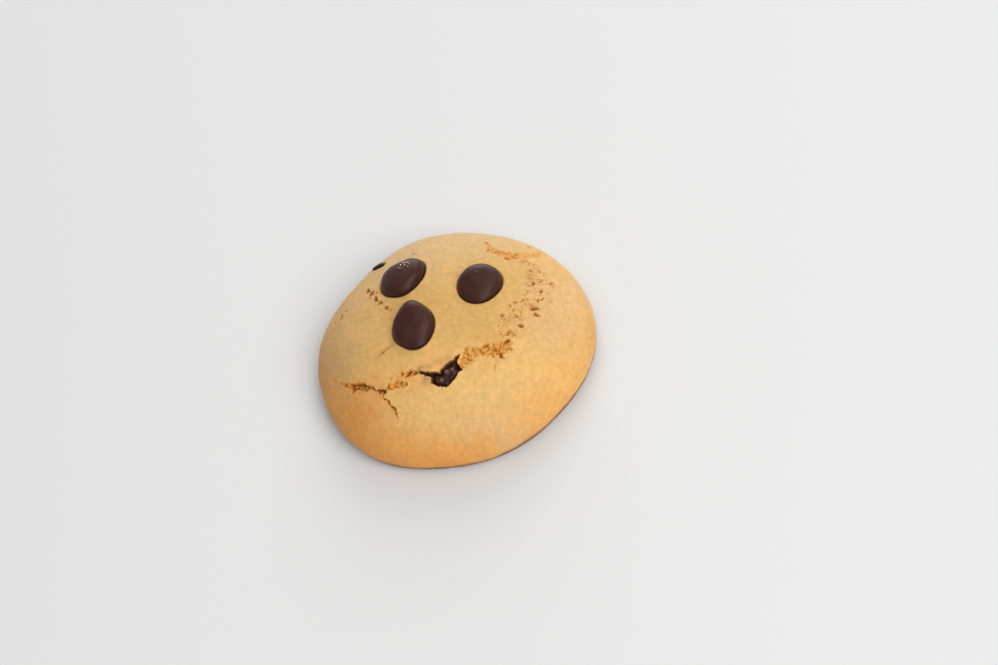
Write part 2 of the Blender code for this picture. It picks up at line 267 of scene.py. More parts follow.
# Burst bubbles: (x, y, radius, depth).
PITS = (
    (24.3, 5.7, 0.4, 0.5), (23.5, 3.3, 0.6, 0.8), (23.3, 0.5, 0.5, 0.6), (22.8, -1.0, 0.5, 0.6),
    (24.9, -0.7, 0.5, 0.6), (26.6, -1.8, 0.6, 0.7), (23.7, -3.4, 0.6, 0.9), (22.0, -5.8, 0.55, 0.9),
    (23.1, -5.6, 0.5, 0.9), (20.4, -7.4, 0.8, 1.2), (20.1, -9.2, 0.6, 0.9), (20.6, -2.7, 0.5, 0.5),
    (18.8, -4.4, 0.5, 0.5), (17.1, -4.3, 0.5, 0.5), (15.8, -8.1, 0.5, 0.6), (15.6, -4.7, 0.5, 0.6),
    (16.0, -6.2, 0.45, 0.5), (13.0, -6.4, 0.5, 0.6), (15.8, -10.6, 0.65, 1.0), (17.0, -7.3, 0.45, 0.5),
    (12.4, -11.0, 0.6, 0.9), (11.3, -13.0, 0.75, 1.1), (11.3, -15.0, 0.45, 0.7),
    (8.5, -15.5, 0.75, 1.2), (6.9, -14.8, 0.45, 0.7), (6.7, -11.8, 0.5, 0.9), (2.2, -10.5, 0.5, 0.8),
    (17.8, 17.0, 0.6, 0.9), (17.4, 13.7, 0.4, 0.8), (18.6, 12.3, 0.45, 0.9), (20.3, 9.3, 0.5, 0.9),
    (22.2, 8.8, 0.45, 0.8), (26.4, 12.3, 0.5, 0.4), (-20.5, 16.9, 0.7, 0.9), (-18.7, 17.9, 0.4, 0.4),
    (-22.5, 17.0, 0.45, 0.4), (-16.1, -7.8, 0.45, 0.5), (-17.5, -9.1, 0.5, 0.8),
    (-15.9, -9.4, 0.45, 0.8), (-14.4, -10.2, 0.5, 0.9), (-13.6, -11.0, 0.4, 0.7),
    (-13.3, -7.9, 0.45, 0.8), (-12.1, -9.0, 0.7, 1.2), (-10.7, -9.7, 0.65, 1.2), (-28.0, 2.0, 0.4, 0.4),
    (-12.2, 19.1, 0.7, 1.5), (-11.5, 17.4, 0.75, 1.6), (-10.4, 16.4, 0.4, 1.0),
    (-12.4, 16.6, 0.36, 0.8), (-11.2, 14.9, 0.66, 1.5), (-10.7, 12.9, 0.58, 1.4),
    (-9.8, 10.4, 0.5, 1.3), (-9.2, 8.9, 0.38, 0.9),
)
# Smaller pores strewn over the roughened stretch: their scatter in half widths of it, the range of their
# radii, and that of their depths as shares of the radius.
PORE_COUNT = 70
PORE_SEED = 5
PORE_SCATTER = 0.55
PORE_RADII = (0.18, 0.36)
PORE_DEPTHS = (0.8, 1.6)
# The deepest line of a split lies this share of the half width over to its far side.
FAR_SIDE = 0.45
# Each pit is longer than it is wide, and turned this much further than the one before.
PIT_TURN = math.radians(137.5)
FAR_AWAY = 1e6


def across_split(x, y, stops):
    """How points lie to a split: steps across it (1 at an edge, plus on the far side), and its depth."""
    nearest = np.full(x.shape, FAR_AWAY)
    steps = np.full(x.shape, FAR_AWAY)
    depth = np.zeros(x.shape)
    for (x0, y0, wide0, deep0), (x1, y1, wide1, deep1) in zip(stops, stops[1:]):
        run_x = x1 - x0
        run_y = y1 - y0
        run = math.hypot(run_x, run_y)
        share = np.clip(((x - x0) * run_x + (y - y0) * run_y) / run**2, 0.0, 1.0)
        off_x = x - x0 - share * run_x
        off_y = y - y0 - share * run_y
        distance = np.hypot(off_x, off_y) / (wide0 + share * (wide1 - wide0))
        closer = distance < nearest
        nearest = np.where(closer, distance, nearest)
        hand = np.where(run_x * off_y - run_y * off_x >= 0.0, 1.0, -1.0)
        steps = np.where(closer, distance * hand, steps)
        depth = np.where(closer, deep0 + share * (deep1 - deep0), depth)
    return steps, depth


# The opening over the fifth drop, where the front split gapes: its corners, in order round it.
OPENING = (
    (-9.6, -10.2), (-8.2, -10.9), (-6.9, -12.0), (-5.4, -12.8), (-4.4, -12.1), (-2.6, -11.6),
    (0.3, -11.0), (-0.9, -12.1), (-1.2, -13.5), (-0.8, -14.4), (-1.9, -15.0), (-4.5, -16.2),
    (-5.7, -16.5), (-7.4, -15.0), (-8.2, -13.9), (-7.5, -12.7), (-9.4, -10.9),
)
OPENING_DEPTH = 3.0


def inside_outline(x, y, corners):
    """Distance in from a closed outline: plus inside it, minus outside."""
    distance = np.full(x.shape, FAR_AWAY)
    inside = np.zeros(x.shape, bool)
    for (x0, y0), (x1, y1) in zip(corners, corners[1:] + corners[:1]):
        run_x = x1 - x0
        run_y = y1 - y0
        share = np.clip(((x - x0) * run_x + (y - y0) * run_y) / (run_x**2 + run_y**2), 0.0, 1.0)
        distance = np.minimum(distance, np.hypot(x - x0 - share * run_x, y - y0 - share * run_y))
        crosses = (y0 > y) != (y1 > y)
        run_y_safe = run_y if run_y != 0.0 else 1e-9
        inside ^= crosses & (x < x0 + (y - y0) * run_x / run_y_safe)
    return np.where(inside, distance, -distance)


def smooth_step(value, low, high):
    share = np.clip((value - low) / (high - low), 0.0, 1.0)
    return share * share * (3.0 - 2.0 * share)


def fade_out(value, full, gone):
    return 1.0 - smooth_step(value, full, gone)


def ring(value, start, full, fall, gone):
    """Rises from 0 at start to 1 at full, and falls again from fall to gone."""
    return smooth_step(value, start, full) * fade_out(value, fall, gone)


def bell(value, middle, width):
    return np.exp(-(((value - middle) / width) ** 2))


def sum_of_noise(points, rows):
    """Noise summed from rows of (height, width of its bumps, seed)."""
    total = np.zeros(len(points))
    for height, size, seed in rows:
        total += height * noise_at(points, size, seed)
    return total


SHORT_OF_LAST = 1.001


def step_along(draw, stops):
    """A random step along a strip, short of its last stop."""
    return draw.uniform(0.0, len(stops) - SHORT_OF_LAST)


def place_beside(stops, step, aside):
    """The place that many stops along a strip, and that many half widths to its left."""
    x0, y0, wide0, _ = stops[int(step)]
    x1, y1, wide1, _ = stops[int(step) + 1]
    share = step - int(step)
    aside *= wide0 + share * (wide1 - wide0)
    run = math.hypot(x1 - x0, y1 - y0)
    x = x0 + share * (x1 - x0) - aside * (y1 - y0) / run
    y = y0 + share * (y1 - y0) + aside * (x1 - x0) / run
    return x, y


def strew_pores():
    """Places, radii and depths of the small pores, like the rows of PITS."""
    draw = random.Random(PORE_SEED)
    pores = []
    for _ in range(PORE_COUNT):
        step = step_along(draw, ROUGHENED)
        x, y = place_beside(ROUGHENED, step, draw.gauss(0.0, PORE_SCATTER))
        radius = draw.uniform(*PORE_RADII)
        pores.append((x, y, radius, radius * draw.uniform(*PORE_DEPTHS)))
    return pores


# The skin's triangles are finer over the relief, and this far round each feature.
SKIN_SPACING = 0.33
FINE_SPACING = 0.155
FINE_ROUND_OPENING = 0.8
FINE_ROUND_SPLIT = 0.75
FINE_ROUND_PIT = 0.4
FINE_ROUND_SEAT = 0.45
SKIN_MARGIN = 0.2
FOOT_POINTS = 620
SAME_PLACE = 1e-9
# The edge of a drop's seat, in drop radii. Below the lowest height there is no seat.
SEAT_EDGE = 1.02
SEAT_LOWEST = 1.0


def wants_fine_mesh(points):
    """Marks the places where the crust's relief is finer than the plain skin needs."""
    x, y = points[:, :2].T
    fine = inside_outline(x, y, OPENING) > -FINE_ROUND_OPENING
    for stops in list(SPLITS.values()) + list(CRUMBLED.values()):
        widened = [(a, b, wide + FINE_ROUND_SPLIT, deep) for a, b, wide, deep in stops]
        fine |= np.abs(across_split(x, y, widened)[0]) < 1.0
    fine |= np.abs(across_split(x, y, ROUGHENED)[0]) < 1.0
    for pit_x, pit_y, radius, _ in PITS:
        fine |= np.hypot(x - pit_x, y - pit_y) < radius + FINE_ROUND_PIT
    for name, row in DROPS.items():
        from_seat = np.abs(drop_reach(points, name) - SEAT_EDGE) * row[3]
        fine |= (from_seat < FINE_ROUND_SEAT) & (points[:, 2] > SEAT_LOWEST)
    return fine


def hexagon_grid(spacing, radius):
    """Points of an even triangular grid that fills a disc."""
    row_gap = spacing * math.sqrt(3.0) / 2
    rows = int(radius / row_gap) + 1
    columns = int(radius / spacing) + 1
    points = []
    for row in range(-rows, rows + 1):
        start = 0.5 * spacing if row % 2 else 0.0
        along = start + spacing * np.arange(-columns, columns + 1)
        points.append(np.stack([along, np.full_like(along, row * row_gap)], axis=1))
    points = np.concatenate(points)
    return points[np.hypot(points[:, 0], points[:, 1]) < radius]


def join_up(points):
    """Triangulates flat points; gives the points and the triangles."""
    places, _, faces, _, _, _ = delaunay_2d_cdt([Vector(p) for p in points.tolist()], [], [], 0, SAME_PLACE)
    return np.array([tuple(p) for p in places]), np.array(faces)


def make_skin_sheet():
    """The flat sheet for the upper skin: a fine grid over the relief, a wider one elsewhere."""
    wide = hexagon_grid(SKIN_SPACING, SKIN_RADIUS - SKIN_MARGIN)
    wide = wide[~wants_fine_mesh(lay_over_mound(wide))]
    fine = hexagon_grid(FINE_SPACING, SKIN_RADIUS - SKIN_MARGIN)
    fine = fine[wants_fine_mesh(lay_over_mound(fine))]
    angle = 2.0 * np.pi * np.arange(FOOT_POINTS) / FOOT_POINTS
    foot = SKIN_RADIUS * np.stack([np.cos(angle), np.sin(angle)], axis=1)
    return join_up(np.concatenate([foot, wide, fine]))


# The crust's own unevenness, and how far ragged edges stray in x and in y: noise in rows of (height,
# width of its bumps, seed), in millimetres.
CRUST_WAVES = ((0.11, 5.5, 5), (0.065, 2.2, 6), (0.034, 1.0, 8))
TORN_X = ((0.34, 1.3, 1), (0.20, 0.55, 3))
TORN_Y = ((0.34, 1.3, 2), (0.20, 0.55, 4))
GAPE_X = ((0.22, 1.3, 1), (0.26, 0.62, 19))
GAPE_Y = ((0.22, 1.3, 2), (0.26, 0.62, 20))
ROUGH_X = ((1.1, 1.3, 1),)
ROUGH_Y = ((1.1, 1.3, 2),)


def ragged(points, stray_x, stray_y):
    """The points' x and y, moved about by noise, so that what is cut there gets ragged edges."""
    return points[:, 0] + sum_of_noise(points, stray_x), points[:, 1] + sum_of_noise(points, stray_y)


def lay_shade(relief, name, cover):
    """Puts one more cover on a shade: it shows where it is the stronger."""
    relief[name] = np.maximum(relief[name], cover)


# A split's width and depth vary along it between these shares.
SPLIT_UNEVEN = ((0.9, 1.2, 22),)
SPLIT_WIDTHS = (0.55, 1.5)
SPLIT_DEPTHS = (0.4, 1.4)
SPLIT_FALL = 0.8
SPLIT_ROUNDING = 0.8
# Its raised lip and its torn edge, in half widths: where they start, are full, fall off and end.
LIP_HEIGHT = 0.10
SPLIT_LIP = (0.9, 1.3, 1.5, 3.6)
SPLIT_TORN = (0.8, 1.6)
SPLIT_TEAR = 0.85
TEAR_PER_DEPTH = 1.6
# The painted shade in a split is full from this depth down.
FULL_SHADE_DEPTH = 1.3


def cut_splits(points, x, y, relief):
    """Grooves that are steeper on their far side, with raised lips."""
    uneven = 1.0 + sum_of_noise(points, SPLIT_UNEVEN)
    for stops in SPLITS.values():
        steps, depth = across_split(x, y, stops)
        steps = steps / np.clip(uneven, *SPLIT_WIDTHS)
        depth = depth * np.clip(uneven, *SPLIT_DEPTHS)
        reach = np.abs(steps)
        near_wall = (1.0 + steps) / (1.0 + FAR_SIDE)
        far_wall = (1.0 - steps) / (1.0 - FAR_SIDE)
        slope = np.clip(np.where(steps > FAR_SIDE, far_wall, near_wall), 0.0, 1.0) ** SPLIT_ROUNDING
        relief["out"] -= SPLIT_FALL * depth * slope
        relief["out"] += LIP_HEIGHT * ring(reach, *SPLIT_LIP) * np.minimum(1.0, depth)
        tear = SPLIT_TEAR * np.minimum(1.0, TEAR_PER_DEPTH * depth)
        lay_shade(relief, "torn", fade_out(reach, *SPLIT_TORN) * tear)
        # Painted shade: the deeper the groove, the darker it is painted.
        lay_shade(relief, "deep", slope * np.minimum(1.0, depth / FULL_SHADE_DEPTH))


CRUMBLED_BREAKS = ((0.30, 1.3, 2), (0.22, 0.7, 9))
CRUMBLED_EDGE = (0.60, 1.0)
CRUMBLED_FALL = 0.35
CRUMBLED_LIP = (0.9, 1.2, 1.2, 2.0)
CRUMBLED_LIP_HEIGHT = 0.08
CRUMBLED_BARE = 0.25


def crumble_strips(points, x, y, relief):
    """Shallow strips with the crumb laid bare and broken edges."""
    breaks = sum_of_noise(points, CRUMBLED_BREAKS)
    for stops in CRUMBLED.values():
        steps, depth = across_split(x, y, stops)
        reach = np.abs(steps) + breaks
        inside = fade_out(reach, *CRUMBLED_EDGE)
        relief["out"] -= CRUMBLED_FALL * depth * inside
        relief["out"] += CRUMBLED_LIP_HEIGHT * ring(reach, *CRUMBLED_LIP)
        lay_shade(relief, "torn", inside * np.clip(CRUMBLED_BARE + depth, 0.0, 1.0))


# Distances in from the opening's outline between which each of these comes in.
OPENING_WALL = (-0.12, 0.30)
OPENING_LIFT = (-1.4, -0.15)
OPENING_TORN = (-0.5, 0.1)
OPENING_COATED = (-0.22, 0.02)
OPENING_LIFT_HEIGHT = 0.16


def open_gap(points, relief):
    """The opening: steep walls that the melt covered, and a lifted edge. Gives how open each point is."""
    x, y = ragged(points, GAPE_X, GAPE_Y)
    gape = inside_outline(x, y, OPENING)
    opened = smooth_step(gape, *OPENING_WALL)
    relief["out"] -= OPENING_DEPTH * opened
    relief["out"] += OPENING_LIFT_HEIGHT * smooth_step(gape, *OPENING_LIFT) * (1.0 - opened)
    lay_shade(relief, "torn", smooth_step(gape, *OPENING_TORN))
    lay_shade(relief, "melt_and_shadow", smooth_step(gape, *OPENING_COATED))
    return opened


ROUGH_EDGE = (0.45, 1.05)
ROUGH_WAVES = ((0.13, 1.2, 7),)
# Blisters are domes between creases: their height, how sharp the creases are, their width and seed.
BLISTER_HEIGHT = 0.09
BLISTER_CREASES = 2.4
BLISTER_NOISE = (0.95, 24)
# Wrinkles run in patches, where flakes of crust lifted.
WRINKLE_DEPTH = 0.22
WRINKLE_NOISE = (1.5, 13)
WRINKLE_EDGE = (0.02, 0.17)
WRINKLE_PATCHES = (2.6, 12)
WRINKLE_PATCH_EDGE = (-0.25, 0.20)
WRINKLE_TORN = 0.40
WRINKLE_PAINTED_SHADE = 0.22


def roughen(points, relief):
    """The roughened stretch of crust: soft swells, blisters and wrinkles."""
    x, y = ragged(points, ROUGH_X, ROUGH_Y)
    rough = fade_out(np.abs(across_split(x, y, ROUGHENED)[0]), *ROUGH_EDGE)
    patches = smooth_step(noise_at(points, *WRINKLE_PATCHES), *WRINKLE_PATCH_EDGE)
    wrinkle = fade_out(np.abs(noise_at(points, *WRINKLE_NOISE)), *WRINKLE_EDGE) * rough * patches
    blister = 1.0 - BLISTER_CREASES * np.abs(noise_at(points, *BLISTER_NOISE))
    relief["out"] += rough * sum_of_noise(points, ROUGH_WAVES) - WRINKLE_DEPTH * wrinkle
    relief["out"] += rough * BLISTER_HEIGHT * blister
    lay_shade(relief, "torn", WRINKLE_TORN * wrinkle)
    # Painted shade in the wrinkles.
    lay_shade(relief, "deep", WRINKLE_PAINTED_SHADE * wrinkle)


# A pit's length and width, and in its radii where its wall, its lip and its torn edge lie.
PIT_LENGTH = 1.45
PIT_WIDTH = 0.75
PIT_FALL = 0.8
PIT_WALL = (0.15, 1.0)
PIT_LIP = (0.8, 1.2, 1.2, 2.2)
PIT_LIP_HEIGHT = 0.05
PIT_TORN = (0.7, 1.15)
PIT_TEAR = 0.36


def sink_pits(x, y, relief):
    """The burst bubbles: oval pits, each with a low lip."""
    for number, (pit_x, pit_y, radius, depth) in enumerate(list(PITS) + strew_pores()):
        cosine = math.cos(number * PIT_TURN)
        sine = math.sin(number * PIT_TURN)
        along = (x - pit_x) * cosine + (y - pit_y) * sine
        across = (y - pit_y) * cosine - (x - pit_x) * sine
        distance = np.hypot(along / PIT_LENGTH, across / PIT_WIDTH) / radius
        hollow = fade_out(distance, *PIT_WALL)
        relief["out"] -= PIT_FALL * depth * hollow
        relief["out"] += PIT_LIP_HEIGHT * ring(distance, *PIT_LIP)
        lay_shade(relief, "torn", PIT_TEAR * fade_out(distance, *PIT_TORN))
        # Painted shade in the pits, darker the deeper they are.
        lay_shade(relief, "deep", hollow * np.minimum(1.0, depth**2))


# Torn dough breaks into large and small lumps: (height, width, seed), with fine grit on them.
LARGE_LUMPS = (0.28, 1.3, 14)
SMALL_LUMPS = (0.22, 0.62, 15)
LUMP_CREASES = 2.6
LUMP_SINK = 0.22
GRIT = ((0.07, 0.36, 21),)
HARDLY_TORN = 0.02
# The gaps between lumps are painted dark as shade: the shares of the large and small lumps, and how the
# shade comes in. The opening is painted dark as shade too.
LARGE_GAPS = 0.75
SMALL_GAPS = 0.25
GAP_EDGE = (0.45, 0.95)
GAP_PAINTED_SHADE = 0.80
LUMP_PAINTED_SHADE = 0.65
CREASE_PAINTED_SHADE = 0.6
OPENING_PAINTED_SHADE = 0.8


def crumb_lumps(points, wanted, size, seed):
    """Rounded lumps of torn dough: 0 in the creases between them, up to 1 on top."""
    lumps = np.zeros(len(points))
    lumps[wanted] = np.minimum(1.0, LUMP_CREASES * np.abs(noise_at(points[wanted], size, seed)))
    return lumps


def tear_crumb(points, opened, relief):
    """Breaks what is torn, outside the opening, into lumps of crumb, with painted shade in the creases
    between them and over the opening.
    """
    torn = relief["torn"]
    crumbly = torn > HARDLY_TORN
    large_height, *large = LARGE_LUMPS
    small_height, *small = SMALL_LUMPS
    large_lumps = crumb_lumps(points, crumbly, *large)
    small_lumps = crumb_lumps(points, crumbly, *small)
    bare = torn * (1.0 - opened)
    relief["out"] += bare * (large_height * large_lumps + small_height * small_lumps - LUMP_SINK)
    relief["out"][crumbly] += bare[crumbly] * sum_of_noise(points[crumbly], GRIT)
    gaps = (1.0 - large_lumps) * LARGE_GAPS + (1.0 - small_lumps) * SMALL_GAPS
    deep = relief["deep"] * (LUMP_PAINTED_SHADE + CREASE_PAINTED_SHADE * gaps)
    deep += bare * GAP_PAINTED_SHADE * smooth_step(gaps, *GAP_EDGE)
    relief["deep"] = np.clip(deep, 0.0, 1.0)
    lay_shade(relief, "deep", OPENING_PAINTED_SHADE * opened)


# Under a drop the crust is sunk; round it come a narrow moat and a soft rim. The wall is in drop radii,
# the rest in millimetres out from the drop's outline.
SEAT_DEPTH = 1.1
SEAT_WALL = (0.93, 1.01)
SEAT_RIM = (0.0, 0.25, 0.3, 1.4)
SEAT_RIM_HEIGHT = 0.12
MOAT_DEPTH = 0.28
MOAT_PLACE = 0.12
MOAT_WIDTH = 0.18
# A dark ring round each drop, partly melt stain and partly painted shadow: where it fades, and how dark.
SEAT_DARK_RING = (0.10, 0.42)
SEAT_DARK_RING_STRENGTH = 0.80


def press_seats(points, relief):
    """The seats of the drops, with the stain that the melt left round each, which is also painted shadow at
    the drop's edge.
    """
    high = points[:, 2] > SEAT_LOWEST
    for name, row in DROPS.items():
        reach = drop_reach(points, name)
        edge = (reach - 1.0) * row[3]
        seat = high * fade_out(reach, *SEAT_WALL)
        rim = high * ring(edge, *SEAT_RIM)
        moat = high * bell(edge, MOAT_PLACE, MOAT_WIDTH)
        relief["out"] = relief["out"] * (1.0 - seat) - SEAT_DEPTH * seat + SEAT_RIM_HEIGHT * rim
        relief["out"] -= MOAT_DEPTH * moat
        # The dark ring: melt stain, and painted shadow at the drop's edge.
        lay_shade(relief, "melt_and_shadow", SEAT_DARK_RING_STRENGTH * high * fade_out(edge, *SEAT_DARK_RING))
        relief["torn"] = relief["torn"] * (1.0 - seat)


def sculpt(points):
    """The relief of the upper skin: how far each point moves out, and how the crust is laid open."""
    relief = {name: np.zeros(len(points)) for name in ("torn", "deep", "melt_and_shadow")}
    relief["out"] = sum_of_noise(points, CRUST_WAVES)
    torn_x, torn_y = ragged(points, TORN_X, TORN_Y)
    cut_splits(points, torn_x, torn_y, relief)
    crumble_strips(points, torn_x, torn_y, relief)
    opened = open_gap(points, relief)
    roughen(points, relief)
    sink_pits(torn_x, torn_y, relief)
    tear_crumb(points, opened, relief)
    press_seats(points, relief)
    return relief.pop("out"), relief


# Where melted chocolate smeared the crust, and where the pits of the left split are painted dark as shade:
# (x, y, radius, strength).
SMEARS_AND_SHADE = (
    (-11.6, 0.6, 1.5, 0.55), (-10.6, 2.4, 1.1, 0.35), (-8.7, -9.5, 0.9, 0.8), (-7.2, -10.2, 0.9, 0.68),
    (-4.8, -10.0, 1.2, 0.3), (-2.2, -10.4, 0.8, 0.4), (-9.0, -12.4, 0.9, 0.7), (-0.4, -14.2, 0.6, 0.5),
    (-4.8, 10.2, 0.6, 0.35), (-12.1, 19.0, 0.6, 0.8), (-11.4, 17.4, 0.6, 0.85), (-11.1, 14.9, 0.6, 0.8),
    (-10.6, 12.9, 0.5, 0.75), (-9.8, 10.4, 0.5, 0.7),
)
# Where the crust took more colour from the oven, and where it stayed creamy, which on the back is partly
# painted sheen: (x, y, radius, strength).
WARM_PATCHES = (
    (-27.0, -9.0, 7.5, 1.0), (-20.5, -7.0, 5.0, 0.65), (-22.0, -15.5, 5.5, 0.45),
    (-12.5, -10.5, 3.5, 0.6), (-4.5, -10.5, 3.0, 0.4), (7.5, -13.0, 4.0, 0.4),
)
CREAM_AND_SHEEN_PATCHES = (
    (28.0, -5.0, 9.0, 1.0), (21.5, -12.5, 5.5, 0.9), (26.0, 5.0, 5.5, 0.6), (23.5, 12.0, 5.0, 0.6),
    (10.0, 20.0, 9.0, 0.5), (-24.0, 17.0, 6.0, 0.55), (-15.0, 21.0, 6.0, 0.5), (-18.0, 9.0, 6.0, 0.4),
    (-11.8, 17.0, 3.2, 0.7), (1.0, -31.0, 7.0, 0.7),
)
SMEAR_STRENGTH = 0.75
SMEAR_WAVES = ((0.5, 1.2, 18),)
# The oven browned the rim most on one side: the side in degrees round from the right, the ring it reaches
# in shares of the radius, and how much it keeps to that side.
BROWN_SIDE = -135.0
BROWN_RING = (0.74, 1.02)
BROWN_SIDE_POWER = 1.3
# Where the crust is palest, lightest and dullest: (side in degrees, where it begins, where it is full).
# The palest is painted sheen on the back, which faces away; the lightest is painted light on the front;
# the dullest is partly a duller crust and partly painted shade on the left, away from the lamps.
SIDE_SHADES = {
    "pale": (78.0, 6.0, 29.0),
    "light": (-110.0, 2.0, 16.0),
    "dull": (158.0, 16.0, 32.0),
}
# The edges of all these stray, in shares of the radius.
SHADE_WAVES = ((0.05, 7.0, 16), (0.025, 2.5, 17))
SIDE_STRAY = 2.0
PATCH_STRAY = 2.5
# The scorched foot, darkened further with painted contact shadow: between these heights it fades out.
FOOT_BROWN_AND_SHADOW_BAND = (1.4, 3.2)
FOOT_WAVES = ((0.4, 6.0, 23), (0.25, 2.0, 25))


def patchy(x, y, patches):
    """How strongly soft-edged round patches cover each point."""
    cover = np.zeros(len(x))
    for patch_x, patch_y, radius, strength in patches:
        near = np.exp(-((x - patch_x) ** 2 + (y - patch_y) ** 2) / radius**2)
        cover = np.maximum(cover, strength * near)
    return cover


def bake_shades(points):
    """How brown, pale, light, dull and smeared the crust is at each point, and how darkly browned the foot.
    The paleness is painted sheen and the lightness painted light; the dullness, the smears and the foot are
    partly painted shade.
    """
    x, y = points[:, :2].T
    angle = np.arctan2(y, x)
    stray = sum_of_noise(points, SHADE_WAVES)
    drift = RIM_RADIUS * stray
    share = np.hypot(x, y) / rim_radius(angle)
    hot = 0.5 + 0.5 * np.cos(angle - math.radians(BROWN_SIDE))
    shades = {"bake": smooth_step(share + stray, *BROWN_RING) * hot**BROWN_SIDE_POWER}
    for name, (side, begins, full) in SIDE_SHADES.items():
        towards = x * math.cos(math.radians(side)) + y * math.sin(math.radians(side))
        shades[name] = smooth_step(towards + SIDE_STRAY * drift, begins, full)
    loose = PATCH_STRAY * drift
    shades["warm"] = patchy(x + loose, y - loose, WARM_PATCHES)
    shades["cream_and_sheen"] = patchy(x - loose, y + loose, CREAM_AND_SHEEN_PATCHES)
    shades["smear_and_shade"] = patchy(x, y, SMEARS_AND_SHADE) * (SMEAR_STRENGTH + sum_of_noise(points, SMEAR_WAVES))
    shades["foot"] = fade_out(points[:, 2] + sum_of_noise(points, FOOT_WAVES), *FOOT_BROWN_AND_SHADOW_BAND)
    return shades


UNDERSIDE_SPACING = 0.9
UNDERSIDE_REACH = 1.1
UNDERSIDE_MARGIN = 0.35
UNDERSIDE_PORES = (1.4, 11)
PORES_FROM = 0.15
PORE_DEEPNESS = 0.5
PORELESS_EDGE = (0.2, 1.0)
# The relief fades in over this height above the table.
RELIEF_FROM_FOOT = 1.2


def inside_foot(flat):
    """How far inside the foot's outline each point lies."""
    edge = rim_radius(np.arctan2(flat[:, 1], flat[:, 0])) - BASE_TUCK
    return edge - np.hypot(flat[:, 0], flat[:, 1])


def make_underside(foot):
    """The flat underside within the foot's outline, with small pores: its points and triangles."""
    inner = hexagon_grid(UNDERSIDE_SPACING, UNDERSIDE_REACH * RIM_RADIUS)
    inner = inner[inside_foot(inner) > UNDERSIDE_MARGIN]
    flat, faces = join_up(np.concatenate([foot[:, :2], inner]))
    points = np.concatenate([flat, np.zeros((len(flat), 1))], axis=1)
    pores = np.maximum(0.0, noise_at(points, *UNDERSIDE_PORES) - PORES_FROM) * PORE_DEEPNESS
    points[:, 2] = pores * smooth_step(inside_foot(flat), *PORELESS_EDGE)
    return points, faces


def share_foot(points, on_foot, under):
    """Numbers the underside's points after the skin's; on the foot they are the skin's own."""
    matches = {tuple(points[index, :2].round(4)): int(index) for index in on_foot}
    numbering = []
    extra = []
    for place in under:
        key = tuple(place[:2].round(4))
        numbering.append(matches.get(key, len(points) + len(extra)))
        if key not in matches:
            extra.append(place)
    return np.array(numbering), np.array(extra)


def cookie_mesh(name, points, faces):
    """A smooth mesh from points in millimetres, moved so that the cookie stands in the middle."""
    mesh = bpy.data.meshes.new(name)
    mesh.from_pydata(((points - rim_middle()) * MM).tolist(), [], faces)
    mesh.shade_smooth()
    return mesh


def stand(name, data):
    """Puts a mesh, a lamp or a camera in the scene."""
    thing = bpy.data.objects.new(name, data)
    bpy.context.scene.collection.objects.link(thing)
    return thing


def make_dough():
    sheet, faces = make_skin_sheet()
    points = lay_over_mound(sheet)
    normals = skin_normals(sheet)
    above_foot = smooth_step(points[:, 2], 0.0, RELIEF_FROM_FOOT)
    points[:, 2] += above_foot * swell(points[:, 0], points[:, 1])
    out, shades = sculpt(points)
    shades.update(bake_shades(points))
    points = points + normals * (out * above_foot)[:, None]

    on_foot = np.flatnonzero(np.hypot(sheet[:, 0], sheet[:, 1]) > JUST_INSIDE * SKIN_RADIUS)
    on_foot = on_foot[np.argsort(np.arctan2(sheet[on_foot, 1], sheet[on_foot, 0]))]
    under, under_faces = make_underside(points[on_foot])
    numbering, extra = share_foot(points, on_foot, under)
    all_points = np.concatenate([points, extra])
    all_faces = np.concatenate([faces, numbering[under_faces][:, ::-1]])

    mesh = cookie_mesh("dough_look", all_points, all_faces.tolist())
    for name, values in shades.items():
        full = np.zeros(len(all_points), np.float32)
        full[: len(values)] = values
        if name == "foot":
            full[len(values):] = 1.0
        mesh.attributes.new(name, "FLOAT", "POINT").data.foreach_set("value", full)
    return stand("dough_look", mesh)


def new_material(name):
    material = bpy.data.materials.new(name)
    material.use_nodes = True
    return material, material.node_tree, material.node_tree.nodes["Principled BSDF"]


def link_mix(tree, factor, first, second):
    """A colour mix node; each input is a socket or a colour."""
    node = tree.nodes.new("ShaderNodeMix")
    node.data_type = "RGBA"
    for socket, value in ((node.inputs[0], factor), (node.inputs[6], first), (node.inputs[7], second)):
        if isinstance(value, bpy.types.NodeSocket):
            tree.links.new(value, socket)
        else:
            socket.default_value = value
    return node.outputs[2]


def read_attribute(tree, name):
    node = tree.nodes.new("ShaderNodeAttribute")
    node.attribute_name = name
    return node.outputs["Fac"]


def new_group(name, numbers, output, kind):
    """An empty shader node group with number inputs and one output."""
    group = bpy.data.node_groups.new(name, "ShaderNodeTree")
    for number in numbers:
        group.interface.new_socket(name=number, in_out="INPUT", socket_type="NodeSocketFloat")
    group.interface.new_socket(name=output, in_out="OUTPUT", socket_type=kind)
    return group, group.nodes.new("NodeGroupInput"), group.nodes.new("NodeGroupOutput")


def add_noise(group, given):
    """Soft noise over the piece, as fine, detailed and ragged as the group is given."""
    place = group.nodes.new("ShaderNodeTexCoord")
    cloud = group.nodes.new("ShaderNodeTexNoise")
    group.links.new(place.outputs["Object"], cloud.inputs["Vector"])
    for number, socket in (("Fineness", "Scale"), ("Detail", "Detail"), ("Raggedness", "Roughness")):
        group.links.new(given.outputs[number], cloud.inputs[socket])
    return cloud.outputs["Fac"]


MIDDLE_OF_NOISE = 0.5


